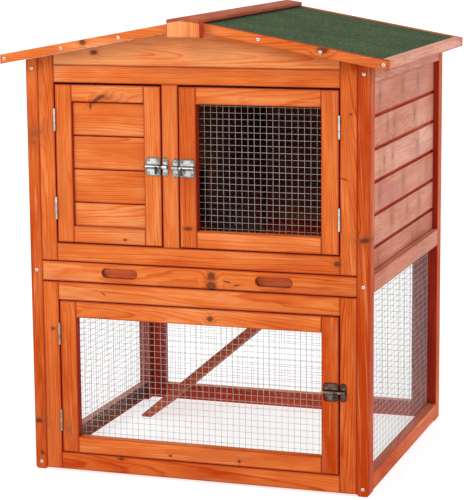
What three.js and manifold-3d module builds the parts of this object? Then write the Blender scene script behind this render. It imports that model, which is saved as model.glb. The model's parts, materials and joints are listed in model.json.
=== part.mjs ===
// A two-storey timber rabbit hutch with a felted gable roof, a pull-out tray floor and a wire run below.
// Millimetres. X runs left to right, Y from the front face to the back, Z up from the ground.
import * as THREE from "three";
import { mergeVertices } from "three/addons/utils/BufferGeometryUtils.js";
import Module from "manifold-3d";

const wasm = await Module();
wasm.setup();

// Driving dimensions
const GRID_PER_MM = 128; // coordinates are rounded to this grid
const CLEARANCE = 0.3; // between pieces that touch
const FRONT_OVERHANG = 55; // ridge end block, in front of the front face
const DEPTH = 628; // front face to the rear faces of the rear posts
const ROOF_REAR = 640;
const HALF_WIDTH = 353.5; // over the posts
const POST_WIDTH = 25;
const POST_DEPTH = 34;
const FOOT_CHAMFER = 4;
const POST_INNER = HALF_WIDTH - POST_WIDTH;
const PANEL_HALF = POST_INNER - CLEARANCE; // front and rear frames, between the posts
const OPENING_HALF = 294.5; // inner edges of those frames' stiles
const FRAME_DEPTH = 20;

// Heights of the storeys
const LOWER_FRAME_BOTTOM = 3.8;
const LOWER_FRAME_TOP = 394.2;
const LOWER_OPENING = { bottom: 38.7, top: 357.9 };
const UPPER_FRAME_BOTTOM = 438;
const UPPER_OPENING = { bottom: 474, top: 797.3 };
const TOP_RAIL_TOP = 831.5;
const SIDE_BOTTOM_RAIL = { bottom: 6.3, top: 41 };
const SIDE_MID_RAIL = { bottom: 400, top: 436 };
const SIDE_TOP_RAIL_BOTTOM = 805;
const MULLION = { left: -66.2, right: -32.9 };

// Roof
const ROOF_SLOPE = 0.181;
const ROOF_PEAK = 924; // where the two trims' top edges would meet
const ROOF_HALF_WIDTH = 395;
const ROOF_FRONT = -30;
const TRIM_THICKNESS = 15;
const TRIM_HEIGHT = 18.5;
const FELT_DROP = 1;
const FELT_THICKNESS = 3;
const ROOF_BOARD_THICKNESS = 14;
const ROOF_UNDERSIDE = ROOF_PEAK - FELT_DROP - FELT_THICKNESS - ROOF_BOARD_THICKNESS - 2 * CLEARANCE;
const CAP = { halfWidth: 33.9, apex: 932, edgeTop: 926.5, thickness: 7.2, front: -54, rear: 632 };
const END_BLOCK_BOTTOM = 891.4;

// Walls and wire
const WALL_BOARD = { outer: 342, inner: 330 };
const BOARD_PITCH = 64.3;
const BOARD_GROOVE = { depth: 2, height: 6 };
const MESH_PITCH = 76.2; // every sixth wire of a 12.7 mm welded mesh
const MESH_BAR = 3;
const MESH_THICKNESS = 1.6;
const SIDE_MESH = { bottom: 28.3, top: 416 };
const REAR_MESH_OVERLAP = 6; // onto the frame, past each edge of the opening
const DOOR_MESH_OVERLAP = 9;
const PARTITION = { left: -55, right: -45, front: 24, foot: 412.5, top: 838 };
const ENTRANCE = { front: 70, rear: 230, top: 610 }; // the rabbit's doorway in the partition

// Doors
const DOOR_GAP = 2.7;
const DOOR_EDGE = OPENING_HALF - DOOR_GAP;
const DOOR_STILE = 34.6;
const DOOR_RAIL = 33;
const UPPER_DOOR = { bottom: 476.8, top: 793 };
const RUN_DOOR = { bottom: 40.8, top: 355.2 };
const BOARD_RECESS = 6;
const NEST_BOARD_BACK = 17;
const NEST_LATCH_GAP = 2.9;
const LIVING_LATCH_GAP = 2.3;

// Hinges and bolts
const HINGE_HEIGHT = 44;
const KNUCKLE_RADIUS = 2.25;
const PIN_RADIUS = 1.1;
const BORE_GAP = 0.09;
const HINGE_Y = -2.4;
const LEAF_THICKNESS = 0.9;
const LEAF_FRONT = 0.2;
const LEAF_DEPTH = 15;
const UPPER_DOOR_HINGES = { upper: 701, lower: 523.5 }; // their bottom ends
const RUN_DOOR_HINGES = { upper: 265.5, lower: 85 };
const PLATE_THICKNESS = 1;
const PLATE_HALF_HEIGHT = 18.5;
const BOLT_Y = -5.2;
const BOLT_RADIUS = 2.4;
const BOLT_TRAVEL = 18;
const HOUSING = { front: -9.2, halfHeight: 5 };
const HOUSING_INSET = 2; // from the ends of the plate
const KEEPER_INSET = 3;
const BOLT_TAB = { halfWidth: 2.5, front: -10.8, drop: 14, inset: 7 };
const TAB_SLOT = { gap: 1, back: -4.4 };
const BOLTS = {
  nest_bolt: { z: 635.5, plate: [-100.5, -69.6], keeper: [-66, -53.2], rod: [-104, -53.5], opens: -1 },
  living_bolt: { z: 634, plate: [-30.4, 1.8], keeper: [-45.5, -31.7], rod: [-49.3, 4.5], opens: 1 },
  run_bolt: { z: 206, plate: [261.2, 291.6], keeper: [295.2, 308], rod: [256.5, 306], opens: -1 },
};
const BOLT_FINISH = { nest_bolt: "zinc", living_bolt: "zinc", run_bolt: "bronze" };

// Ramp, floor and drawer
const RAMP = { front: 445, rear: 600, slope: 0.854, thickness: 18, topX: 167.5, topZ: 397.2 };
const RAMP_TOE = { lowX: 6, middle: 4, highX: 9 }; // a blunted tip, measured from where it would be sharp
const BEARER = { bottom: 361, top: 396.7, width: 25, left: -215, right: 168, front: 23, rear: 604 };
const TIE_REAR = 440;
const DRAWER = { bottom: 396.9, top: 435.9, depth: 22, pocketDepth: 14 };
const FINGER_SLOT = { inner: 122.8, outer: 199.8, bottom: 406.8, top: 426.9 };
const TRAY = { halfWidth: 318, front: 22.4, rear: 585, bottom: 397, top: 411, sheet: 0.8 };
const TRAY_NOTCH = { left: -32, right: 192, front: 438 };

const finishes = {
  front_timber: { color: 0xd9713f, roughness: 0.55, metalness: 0 },
  side_timber: { color: 0xc98568, roughness: 0.65, metalness: 0 },
  inner_timber: { color: 0xa85a34, roughness: 0.75, metalness: 0 },
  roofing_felt: { color: 0x2f4a30, roughness: 0.95, metalness: 0 },
  wire: { color: 0x8f928f, roughness: 0.45, metalness: 0.8 },
  zinc: { color: 0xc4c6c8, roughness: 0.35, metalness: 0.9 },
  bronze: { color: 0x4a3a30, roughness: 0.45, metalness: 0.8 },
};

// Axes of an extrusion: the outline's first and second coordinates, then the direction of its depth.
const ALONG = {
  x: new THREE.Matrix4().makeBasis(vector(0, 1, 0), vector(0, 0, 1), vector(1, 0, 0)),
  y: new THREE.Matrix4().makeBasis(vector(1, 0, 0), vector(0, 0, 1), vector(0, -1, 0)),
  z: new THREE.Matrix4(),
};

const hutch = new THREE.Group();
hutch.position.y = (FRONT_OVERHANG - ROOF_REAR) / 2; // the origin lies under the middle of the whole hutch

function vector(x, y, z) {
  return new THREE.Vector3(x, y, z);
}

function addMesh(name, geometry, finish) {
  const mesh = new THREE.Mesh(geometry, new THREE.MeshStandardMaterial(finishes[finish]));
  mesh.name = name;
  hutch.add(mesh);
  return mesh;
}

// Rounds every coordinate to the same fine grid, so that faces meant to be flush are exactly flush.
function snapped(geometry) {
  const { array } = geometry.getAttribute("position");
  array.forEach((value, i) => {
    array[i] = Math.round(value * GRID_PER_MM) / GRID_PER_MM;
  });
  return geometry;
}

function rectangle(left, right, bottom, top) {
  return [
    [left, bottom],
    [right, bottom],
    [right, top],
    [left, top],
  ];
}

// An outline of points extruded from one coordinate to another along an axis.
function prism(axis, outline, from, to) {
  const shape = new THREE.Shape(outline.map(([u, v]) => new THREE.Vector2(u, v)));
  const geometry = new THREE.ExtrudeGeometry(shape, { depth: to - from, bevelEnabled: false });
  geometry.applyMatrix4(ALONG[axis]);
  const start = axis === "y" ? to : from;
  geometry.translate(axis === "x" ? start : 0, axis === "y" ? start : 0, axis === "z" ? start : 0);
  return snapped(geometry);
}

// A prism with openings cut right through it.
function pierced(axis, outline, from, to, openings) {
  const cuts = openings.map((hole) => prism(axis, hole, from - 1, to + 1));
  return joined([prism(axis, outline, from, to)], cuts);
}

function block(x0, x1, y0, y1, z0, z1) {
  return prism("y", rectangle(x0, x1, z0, z1), y0, y1);
}

// A round bar along X or Z with its centre line through the other two coordinates.
function roundBar(axis, radius, from, to, centre, segments = 24) {
  const geometry = new THREE.CylinderGeometry(radius, radius, to - from, segments);
  if (axis === "x") {
    geometry.rotateZ(Math.PI / 2);
    geometry.translate((from + to) / 2, ...centre);
  } else {
    geometry.rotateX(Math.PI / 2);
    geometry.translate(...centre, (from + to) / 2);
  }
  return snapped(geometry);
}

function toSolid(geometry) {
  const bare = new THREE.BufferGeometry();
  bare.setAttribute("position", geometry.getAttribute("position"));
  if (geometry.index) {
    bare.setIndex(geometry.index);
  }
  const merged = mergeVertices(bare, 1e-4);
  const triVerts = new Uint32Array(merged.index.array);
  const vertProperties = new Float32Array(merged.getAttribute("position").array);
  return new wasm.Manifold(new wasm.Mesh({ numProp: 3, vertProperties, triVerts }));
}

function toGeometry(solid) {
  const { vertProperties, triVerts } = solid.getMesh();
  const geometry = new THREE.BufferGeometry();
  geometry.setAttribute("position", new THREE.BufferAttribute(new Float32Array(vertProperties), 3));
  geometry.setIndex(new THREE.BufferAttribute(new Uint32Array(triVerts), 1));
  geometry.computeVertexNormals();
  return geometry;
}

// Joins the first list of geometries and cuts the second out of them.
function joined(parts, cuts = []) {
  const whole = parts.map(toSolid).reduce((sum, solid) => sum.add(solid));
  return toGeometry(cuts.map(toSolid).reduce((rest, solid) => rest.subtract(solid), whole));
}

function roofLine(x, peak = ROOF_UNDERSIDE - CLEARANCE) {
  return peak - ROOF_SLOPE * Math.abs(x);
}

// Both sides of the hutch: calls make with the side's name and the sign of its X.
function onBothSides(make) {
  make("left", -1);
  make("right", 1);
}

// Two X limits given for the right side, mirrored in order for the left.
function span(sign, inner, outer) {
  return sign > 0 ? [inner, outer] : [-outer, -inner];
}

// A full-width panel whose top follows the underside of the roof.
function gabledOutline(halfWidth, bottom) {
  return [
    [-halfWidth, bottom],
    [halfWidth, bottom],
    [halfWidth, roofLine(halfWidth)],
    [0, roofLine(0)],
    [-halfWidth, roofLine(halfWidth)],
  ];
}

function addPosts() {
  onBothSides((side, sign) => {
    const [x0, x1] = span(sign, POST_INNER, HALF_WIDTH);
    const outline = [
      [x0 + FOOT_CHAMFER, 0],
      [x1 - FOOT_CHAMFER, 0],
      [x1, FOOT_CHAMFER],
      [x1, roofLine(x1)],
      [x0, roofLine(x0)],
      [x0, FOOT_CHAMFER],
    ];
    addMesh(`post_front_${side}`, prism("y", outline, 0, POST_DEPTH), "front_timber");
    addMesh(`post_rear_${side}`, prism("y", outline, DEPTH - POST_DEPTH, DEPTH), "side_timber");
  });
}

// Vertical section of tongued boards: a flat wall with a groove at each seam on its outer face.
function boardedSection(bottom, top, outer, inner) {
  const inward = Math.sign(inner - outer);
  const outline = [
    [inner, bottom],
    [inner, top],
    [outer, top],
  ];
  for (let seam = top - BOARD_PITCH; seam > bottom + BOARD_PITCH / 2; seam -= BOARD_PITCH) {
    const upper = seam + BOARD_GROOVE.height / 2;
    const lower = seam - BOARD_GROOVE.height / 2;
    const floor = outer + inward * BOARD_GROOVE.depth;
    outline.push([outer, upper], [floor, upper], [floor, lower], [outer, lower]);
  }
  outline.push([outer, bottom]);
  return inward < 0 ? outline.reverse() : outline;
}

function addSideWalls() {
  const front = POST_DEPTH + CLEARANCE;
  const rear = DEPTH - POST_DEPTH - CLEARANCE;
  onBothSides((side, sign) => {
    const [x0, x1] = span(sign, HALF_WIDTH - FRAME_DEPTH, HALF_WIDTH);
    const rails = {
      bottom: rectangle(x0, x1, SIDE_BOTTOM_RAIL.bottom, SIDE_BOTTOM_RAIL.top),
      mid: rectangle(x0, x1, SIDE_MID_RAIL.bottom, SIDE_MID_RAIL.top),
      top: [
        [x0, SIDE_TOP_RAIL_BOTTOM],
        [x1, SIDE_TOP_RAIL_BOTTOM],
        [x1, roofLine(x1)],
        [x0, roofLine(x0)],
      ],
    };
    for (const [place, outline] of Object.entries(rails)) {
      addMesh(`side_rail_${place}_${side}`, prism("y", outline, front, rear), "side_timber");
    }
    const section = boardedSection(
      SIDE_MID_RAIL.top + CLEARANCE,
      SIDE_TOP_RAIL_BOTTOM - CLEARANCE,
      sign * WALL_BOARD.outer,
      sign * WALL_BOARD.inner,
    );
    addMesh(`wall_boards_${side}`, prism("y", section, front, rear), "side_timber");
    const meshOuter = HALF_WIDTH - FRAME_DEPTH - CLEARANCE;
    const meshSpan = span(sign, meshOuter - MESH_THICKNESS, meshOuter);
    const wire = wireGrid("x", front, rear, SIDE_MESH.bottom, SIDE_MESH.top, ...meshSpan);
    addMesh(`run_mesh_${side}`, wire, "wire");
  });
}

// Welded wire as an even grid of bars that fills a rectangle.
function wireGrid(axis, u0, u1, v0, v1, from, to) {
  const columns = Math.round((u1 - u0) / MESH_PITCH);
  const rows = Math.round((v1 - v0) / MESH_PITCH);
  const bars = [];
  for (let i = 0; i <= columns; i += 1) {
    const u = u0 + ((u1 - u0 - MESH_BAR) * i) / columns;
    bars.push(prism(axis, rectangle(u, u + MESH_BAR, v0, v1), from, to));
  }
  for (let j = 0; j <= rows; j += 1) {
    const v = v0 + ((v1 - v0 - MESH_BAR) * j) / rows;
    bars.push(prism(axis, rectangle(u0, u1, v, v + MESH_BAR), from, to));
  }
  return joined(bars);
}

function addFrontFrames() {
  const upperHoles = [
    rectangle(-OPENING_HALF, MULLION.left, UPPER_OPENING.bottom, UPPER_OPENING.top),
    rectangle(MULLION.right, OPENING_HALF, UPPER_OPENING.bottom, UPPER_OPENING.top),
  ];
  const upperOutline = [
    [-PANEL_HALF, UPPER_FRAME_BOTTOM],
    [PANEL_HALF, UPPER_FRAME_BOTTOM],
    [PANEL_HALF, roofLine(PANEL_HALF)],
    [OPENING_HALF, roofLine(OPENING_HALF)],
    [OPENING_HALF, TOP_RAIL_TOP],
    [-OPENING_HALF, TOP_RAIL_TOP],
    [-OPENING_HALF, roofLine(OPENING_HALF)],
    [-PANEL_HALF, roofLine(PANEL_HALF)],
  ];
  addMesh("front_upper_frame", pierced("y", upperOutline, 0, FRAME_DEPTH, upperHoles), "front_timber");
  const gable = gabledOutline(OPENING_HALF - CLEARANCE, TOP_RAIL_TOP + CLEARANCE);
  addMesh("front_gable", prism("y", gable, 0, FRAME_DEPTH), "front_timber");
  const lowerHole = rectangle(-OPENING_HALF, OPENING_HALF, LOWER_OPENING.bottom, LOWER_OPENING.top);
  const lowerOutline = rectangle(-PANEL_HALF, PANEL_HALF, LOWER_FRAME_BOTTOM, LOWER_FRAME_TOP);
  addMesh("front_lower_frame", pierced("y", lowerOutline, 0, FRAME_DEPTH, [lowerHole]), "front_timber");
}

function addRearWall() {
  const frameFront = DEPTH - FRAME_DEPTH;
  const holes = [
    rectangle(-OPENING_HALF, OPENING_HALF, LOWER_OPENING.bottom, SIDE_MID_RAIL.bottom),
    rectangle(-OPENING_HALF, OPENING_HALF, SIDE_MID_RAIL.top, UPPER_OPENING.top),
  ];
  const outline = gabledOutline(PANEL_HALF, LOWER_FRAME_BOTTOM);
  addMesh("rear_frame", pierced("y", outline, frameFront, DEPTH, holes), "side_timber");

  const section = boardedSection(
    SIDE_MID_RAIL.top + CLEARANCE,
    UPPER_OPENING.top - CLEARANCE,
    DEPTH - BOARD_RECESS,
    frameFront + BOARD_GROOVE.depth,
  );
  const half = OPENING_HALF - CLEARANCE;
  addMesh("rear_wall_boards", prism("x", section, -half, half), "inner_timber");

  const meshRear = frameFront - CLEARANCE;
  const wire = wireGrid(
    "y",
    -OPENING_HALF - REAR_MESH_OVERLAP,
    OPENING_HALF + REAR_MESH_OVERLAP,
    LOWER_OPENING.bottom - REAR_MESH_OVERLAP,
    SIDE_MID_RAIL.bottom + REAR_MESH_OVERLAP,
    meshRear - MESH_THICKNESS,
    meshRear,
  );
  addMesh("run_mesh_rear", wire, "wire");
}

// The wall between the nest box and the living room, with the rabbit's doorway at its foot.
function addPartition() {
  const { left, right, front, foot, top } = PARTITION;
  const rear = DEPTH - FRAME_DEPTH - CLEARANCE;
  const outline = [
    [front, foot],
    [ENTRANCE.front, foot],
    [ENTRANCE.front, ENTRANCE.top],
    [ENTRANCE.rear, ENTRANCE.top],
    [ENTRANCE.rear, foot],
    [rear, foot],
    [rear, top],
    [front, top],
  ];
  addMesh("partition_wall", prism("x", outline, left, right), "inner_timber");
}

// Two battens from front to back carry the tray, and a cross piece ties them and holds the ramp.
function addFloorBearer() {
  const { bottom, top, width, left, right, front, rear } = BEARER;
  const battens = [left, right].map((x) => block(x, x + width, front, rear, bottom, top));
  const tie = block(left, right + width, TIE_REAR - width, TIE_REAR, bottom, top);
  addMesh("floor_bearer", joined([...battens, tie]), "inner_timber");
}

function addRamp() {
  const drop = RAMP.thickness * Math.hypot(1, RAMP.slope);
  const top = (x) => RAMP.topZ + RAMP.slope * (x - RAMP.topX);
  const foot = CLEARANCE;
  const xAt = (z, offset) => RAMP.topX + (z + offset - RAMP.topZ) / RAMP.slope;
  const nose = xAt(foot, 0);
  const outline = [
    [nose + RAMP_TOE.lowX, foot],
    [xAt(foot, drop), foot],
    [RAMP.topX, top(RAMP.topX) - drop],
    [RAMP.topX, RAMP.topZ],
    [nose + RAMP_TOE.highX, top(nose + RAMP_TOE.highX)],
    [nose + RAMP_TOE.middle, foot + RAMP_TOE.middle],
  ];
  addMesh("ramp", prism("y", outline, RAMP.front, RAMP.rear), "inner_timber");
}

function roofSlab(sign, inner, outer, topDrop, thickness, from, to) {
  const top = (x) => roofLine(x, ROOF_PEAK - topDrop);
  const outline = [
    [sign * inner, top(inner) - thickness],
    [sign * outer, top(outer) - thickness],
    [sign * outer, top(outer)],
    [sign * inner, top(inner)],
  ];
  return prism("y", sign > 0 ? outline : outline.reverse(), from, to);
}

function addRoof() {
  const meeting = CLEARANCE / 2;
  const innerEdge = ROOF_HALF_WIDTH - TRIM_THICKNESS;
  const innerFront = ROOF_FRONT + TRIM_THICKNESS;
  const innerRear = ROOF_REAR - TRIM_THICKNESS;
  const boardDrop = FELT_DROP + FELT_THICKNESS + CLEARANCE;
  onBothSides((side, sign) => {
    const slab = roofSlab(sign, meeting, ROOF_HALF_WIDTH, 0, TRIM_HEIGHT, ROOF_FRONT, ROOF_REAR);
    const inside = roofSlab(sign, 0, innerEdge, -TRIM_HEIGHT, 3 * TRIM_HEIGHT, innerFront, innerRear);
    addMesh(`roof_trim_${side}`, joined([slab], [inside]), "front_timber");
    const fit = [meeting, innerEdge - CLEARANCE];
    const [front, rear] = [innerFront + CLEARANCE, innerRear - CLEARANCE];
    addMesh(
      `roof_panel_${side}`,
      roofSlab(sign, ...fit, boardDrop, ROOF_BOARD_THICKNESS, front, rear),
      "inner_timber",
    );
    const felt = roofSlab(sign, ...fit, FELT_DROP, FELT_THICKNESS, front, rear);
    addMesh(`roof_felt_${side}`, felt, "roofing_felt");
  });
}

function addRidge() {
  const { halfWidth, apex, edgeTop, thickness, front, rear } = CAP;
  const cap = [
    [-halfWidth, edgeTop - thickness],
    [0, apex - thickness],
    [halfWidth, edgeTop - thickness],
    [halfWidth, edgeTop],
    [0, apex],
    [-halfWidth, edgeTop],
  ];
  addMesh("ridge_cap", prism("y", cap, front, rear), "side_timber");
  const blockTop = (z) => z - thickness - CLEARANCE;
  const end = [
    [-halfWidth, END_BLOCK_BOTTOM],
    [halfWidth, END_BLOCK_BOTTOM],
    [halfWidth, blockTop(edgeTop)],
    [0, blockTop(apex)],
    [-halfWidth, blockTop(edgeTop)],
  ];
  addMesh("ridge_end_block", prism("y", end, -FRONT_OVERHANG, ROOF_FRONT - CLEARANCE), "front_timber");
}

// A butt hinge between a frame edge and a door edge: two leaves in the gap and a barrel in front of it.
function addHinge(name, sign, bottom) {
  const x = sign * (DOOR_EDGE + DOOR_GAP / 2);
  const thirds = [0, 1, 2, 3].map((i) => bottom + (HINGE_HEIGHT * i) / 3);
  const half = CLEARANCE / 2;
  const leaf = (inner, from, z0, z1) =>
    block(...span(sign, inner, inner + LEAF_THICKNESS), from, LEAF_DEPTH, z0, z1);
  const knuckle = (i) =>
    roundBar("z", KNUCKLE_RADIUS, thirds[i] + half, thirds[i + 1] - half, [x, HINGE_Y], 16);
  const frameSide = OPENING_HALF - CLEARANCE - LEAF_THICKNESS;
  const doorSide = DOOR_EDGE + CLEARANCE;
  const [z0, z1, z2, z3] = thirds;
  const frameLeaf = [
    leaf(frameSide, LEAF_FRONT, z0, z3),
    leaf(frameSide, HINGE_Y, z0 + half, z1 - half),
    leaf(frameSide, HINGE_Y, z2 + half, z3 - half),
    knuckle(0),
    knuckle(2),
    roundBar("z", PIN_RADIUS, z0 + half, z3 - half, [x, HINGE_Y]),
  ];
  addMesh(`${name}_frame_leaf`, joined(frameLeaf), "zinc");
  const doorLeaf = [
    leaf(doorSide, LEAF_FRONT, z0, z3),
    leaf(doorSide, HINGE_Y, z1 + half, z2 - half),
    knuckle(1),
  ];
  const bore = roundBar("z", PIN_RADIUS + BORE_GAP, z0, z3, [x, HINGE_Y]);
  addMesh(`${name}_door_leaf`, joined(doorLeaf, [bore]), "zinc");
}

// A sliding bolt on the door with its keeper on the frame; opens is the sign of its opening move along X.
function addBolt(name, { z, plate, keeper, rod, opens }, finish) {
  const plateBack = -CLEARANCE;
  const plateFront = plateBack - PLATE_THICKNESS;
  const housing = ([x0, x1], inset) => [
    block(x0, x1, plateFront, plateBack, z - PLATE_HALF_HEIGHT, z + PLATE_HALF_HEIGHT),
    block(
      x0 + inset,
      x1 - inset,
      HOUSING.front,
      plateFront,
      z - HOUSING.halfHeight,
      z + HOUSING.halfHeight,
    ),
  ];
  const axis = [BOLT_Y, z];
  const bore = roundBar("x", BOLT_RADIUS + BORE_GAP, rod[0] - BOLT_TRAVEL, rod[1] + BOLT_TRAVEL, axis);
  const { halfWidth, front, drop, inset } = BOLT_TAB;
  const tabX = opens > 0 ? plate[0] + inset : plate[1] - inset;
  const reach = [tabX, tabX + opens * BOLT_TRAVEL].sort((a, b) => a - b);
  const slotEdge = halfWidth + TAB_SLOT.gap;
  const slot = block(
    reach[0] - slotEdge,
    reach[1] + slotEdge,
    2 * front,
    TAB_SLOT.back,
    z - 2 * drop,
    z + TAB_SLOT.gap,
  );
  addMesh(`${name}_plate`, joined(housing(plate, HOUSING_INSET), [bore, slot]), finish);
  addMesh(`${name}_keeper`, joined(housing(keeper, KEEPER_INSET), [bore]), finish);
  const tab = block(tabX - halfWidth, tabX + halfWidth, front, BOLT_Y, z - drop, z);
  const bar = roundBar("x", BOLT_RADIUS, rod[0], rod[1], axis);
  addMesh(`${name}_rod`, joined([bar, tab]), finish);
}

function doorOpening(x0, x1, heights) {
  return [x0 + DOOR_STILE, x1 - DOOR_STILE, heights.bottom + DOOR_RAIL, heights.top - DOOR_RAIL];
}

function addDoorFrame(name, x0, x1, heights) {
  const outline = rectangle(x0, x1, heights.bottom, heights.top);
  const opening = rectangle(...doorOpening(x0, x1, heights));
  addMesh(`${name}_frame`, pierced("y", outline, 0, FRAME_DEPTH, [opening]), "front_timber");
}

function addDoorWire(name, x0, x1, heights) {
  const [left, right, bottom, top] = doorOpening(x0, x1, heights);
  const edge = DOOR_MESH_OVERLAP;
  const depths = [FRAME_DEPTH + CLEARANCE, FRAME_DEPTH + CLEARANCE + MESH_THICKNESS];
  const wire = wireGrid("y", left - edge, right + edge, bottom - edge, top + edge, ...depths);
  addMesh(`${name}_wire`, wire, "wire");
}

function addDoors() {
  const leftDoor = [-DOOR_EDGE, MULLION.left - NEST_LATCH_GAP];
  addDoorFrame("nest_door", ...leftDoor, UPPER_DOOR);
  const [left, right, bottom, top] = doorOpening(...leftDoor, UPPER_DOOR);
  const section = boardedSection(bottom + CLEARANCE, top - CLEARANCE, BOARD_RECESS, NEST_BOARD_BACK);
  addMesh("nest_door_boards", prism("x", section, left + CLEARANCE, right - CLEARANCE), "front_timber");

  const rightDoor = [MULLION.right + LIVING_LATCH_GAP, DOOR_EDGE];
  addDoorFrame("living_door", ...rightDoor, UPPER_DOOR);
  addDoorWire("living_door", ...rightDoor, UPPER_DOOR);

  const runDoor = [-DOOR_EDGE, DOOR_EDGE];
  addDoorFrame("run_door", ...runDoor, RUN_DOOR);
  addDoorWire("run_door", ...runDoor, RUN_DOOR);

  for (const [place, bottomOfHinge] of Object.entries(UPPER_DOOR_HINGES)) {
    addHinge(`nest_hinge_${place}`, -1, bottomOfHinge);
    addHinge(`living_hinge_${place}`, 1, bottomOfHinge);
  }
  for (const [place, bottomOfHinge] of Object.entries(RUN_DOOR_HINGES)) {
    addHinge(`run_hinge_${place}`, -1, bottomOfHinge);
  }
  for (const [name, bolt] of Object.entries(BOLTS)) {
    addBolt(name, bolt, BOLT_FINISH[name]);
  }
}

// A finger pull: a slot with half-round ends.
function slotOutline(sign) {
  const [x0, x1] = span(sign, FINGER_SLOT.inner, FINGER_SLOT.outer);
  const radius = (FINGER_SLOT.top - FINGER_SLOT.bottom) / 2;
  const z = (FINGER_SLOT.top + FINGER_SLOT.bottom) / 2;
  const path = new THREE.Path();
  path.absarc(x1 - radius, z, radius, -Math.PI / 2, Math.PI / 2);
  path.absarc(x0 + radius, z, radius, Math.PI / 2, (3 * Math.PI) / 2);
  return path.getPoints(8).map((point) => [point.x, point.y]);
}

function panOutline(inset) {
  const { halfWidth, front, rear } = TRAY;
  const { left, right, front: notch } = TRAY_NOTCH;
  return [
    [-halfWidth + inset, front + inset],
    [halfWidth - inset, front + inset],
    [halfWidth - inset, rear - inset],
    [right + inset, rear - inset],
    [right + inset, notch - inset],
    [left - inset, notch - inset],
    [left - inset, rear - inset],
    [-halfWidth + inset, rear - inset],
  ];
}

// The tray is a shallow pan that is the floor of the upper storey; its notch clears the ramp.
function addDrawer() {
  const face = rectangle(-PANEL_HALF, PANEL_HALF, DRAWER.bottom, DRAWER.top);
  const slots = [-1, 1].map((sign) => prism("y", slotOutline(sign), -1, DRAWER.pocketDepth));
  addMesh("drawer_front", joined([prism("y", face, 0, DRAWER.depth)], slots), "front_timber");
  const pan = prism("z", panOutline(0), TRAY.bottom, TRAY.top);
  const inside = prism("z", panOutline(TRAY.sheet), TRAY.bottom + TRAY.sheet, TRAY.top + 1);
  addMesh("drawer_tray", joined([pan], [inside]), "zinc");
}

addPosts();
addSideWalls();
addFrontFrames();
addRearWall();
addPartition();
addFloorBearer();
addRamp();
addRoof();
addRidge();
addDoors();
addDrawer();

export default hutch;
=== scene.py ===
"""Looks of the two-storey rabbit hutch: glazed pine boards, welded wire, felt roof and pressed hardware."""
import json
import random
from math import copysign, cos, hypot, pi, radians, sin

import bmesh
import bpy
from mathutils import Matrix, Vector, noise


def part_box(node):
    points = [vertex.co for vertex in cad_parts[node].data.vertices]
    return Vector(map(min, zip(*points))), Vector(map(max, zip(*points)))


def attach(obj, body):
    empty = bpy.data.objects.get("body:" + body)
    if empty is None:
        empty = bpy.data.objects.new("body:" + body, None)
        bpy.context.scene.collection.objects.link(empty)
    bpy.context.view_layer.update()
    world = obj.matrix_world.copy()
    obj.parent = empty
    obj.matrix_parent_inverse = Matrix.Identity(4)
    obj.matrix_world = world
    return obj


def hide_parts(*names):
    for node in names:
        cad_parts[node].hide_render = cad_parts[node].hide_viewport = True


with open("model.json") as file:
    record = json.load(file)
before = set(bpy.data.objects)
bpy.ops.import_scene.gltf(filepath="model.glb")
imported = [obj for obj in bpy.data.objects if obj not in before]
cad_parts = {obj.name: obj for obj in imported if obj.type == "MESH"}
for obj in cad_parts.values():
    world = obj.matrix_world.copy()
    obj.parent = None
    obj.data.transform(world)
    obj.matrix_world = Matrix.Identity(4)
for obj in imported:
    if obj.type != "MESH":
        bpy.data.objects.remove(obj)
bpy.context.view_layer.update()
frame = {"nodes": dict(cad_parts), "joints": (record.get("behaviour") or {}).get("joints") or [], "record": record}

NODES = frame["nodes"]
BODY_OF = {node: body for body, nodes in frame["record"]["behaviour"]["bodies"].items() for node in nodes}
SIDES = {"left": -1, "right": 1}
MM = 0.001

# Camera, in metres and degrees, from the row frame's origin on the ground
CAMERA_AT = Vector((1.2614, -3.8262, 1.1353))
CAMERA_YAW = 18.81
CAMERA_PITCH = 9.89
CAMERA_ROLL = -0.55
CAMERA_LENS = 139.63
CAMERA_SHIFT = (0.0182, -0.0086)

WORLD_LIGHT = 1.0
LAMP_SIZE = 1.2
LAMP_TARGET = Vector((0, 0, 0.6))
FLOOR_GLOW = 0.72  # the floor is a light table
FLOOR_REACH = 30
FLOOR_DROP = 0.5 * MM  # keeps the floor clear of the feet

# Timber
ARRIS = 0.9 * MM  # softened edges of sawn boards
SEAM_STAIN = (0.32, 0.026, 0.008)  # glaze gathered along the boards' edges
KNOT_TINT = (0.075, 0.026, 0.012)
FAINT_KNOT_TINT = (0.27, 0.07, 0.024)
RESIN_TINT = (0.46, 0.17, 0.06)
PLANK_SEAM = 6.5 * MM
PLANK_REBATE = 4.5 * MM
RING_WIDTH = 3.4 * MM
KNOT_PUSH = 7 * MM  # how far a knot bends the growth rings round it

# Wire
WIRE_PITCH = 12.7 * MM
WIRE_RADIUS = 0.44 * MM
WIRE_SIDES = 6
WIRE_STEP = 26 * MM
WIRE_WANDER = 0.55 * MM
WIRE_SEED = 3  # without one, noise_vector is seeded by the clock
WIRE_SLACK = 0.7 * MM
WIRE_UPRIGHT_AT = 15 * MM  # where one of the living-room door's upright wires stands
WIRE_LEVEL_AT = 755.6 * MM  # and the height of one of its level wires

# Hardware
SCREW_RADIUS = 3.6 * MM
SMALL_SCREW_RADIUS = 2.3 * MM
# how far the painted shade beside a bolt plate's tunnel and the patina round its screws reach
SHADE_AND_PATINA_REACH = 6 * MM

AXES = {"x": 0, "y": 1, "z": 2}


def axes_from(name):
    """The index of the named axis, and of the two others."""
    return AXES[name], *(i for i in range(3) if i != AXES[name])


def turns_of(sides):
    return [2 * pi * k / sides for k in range(sides)]


# ---- camera, floor and light

def add_object(name, data):
    thing = bpy.data.objects.new(name, data)
    bpy.context.scene.collection.objects.link(thing)
    return thing


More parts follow.
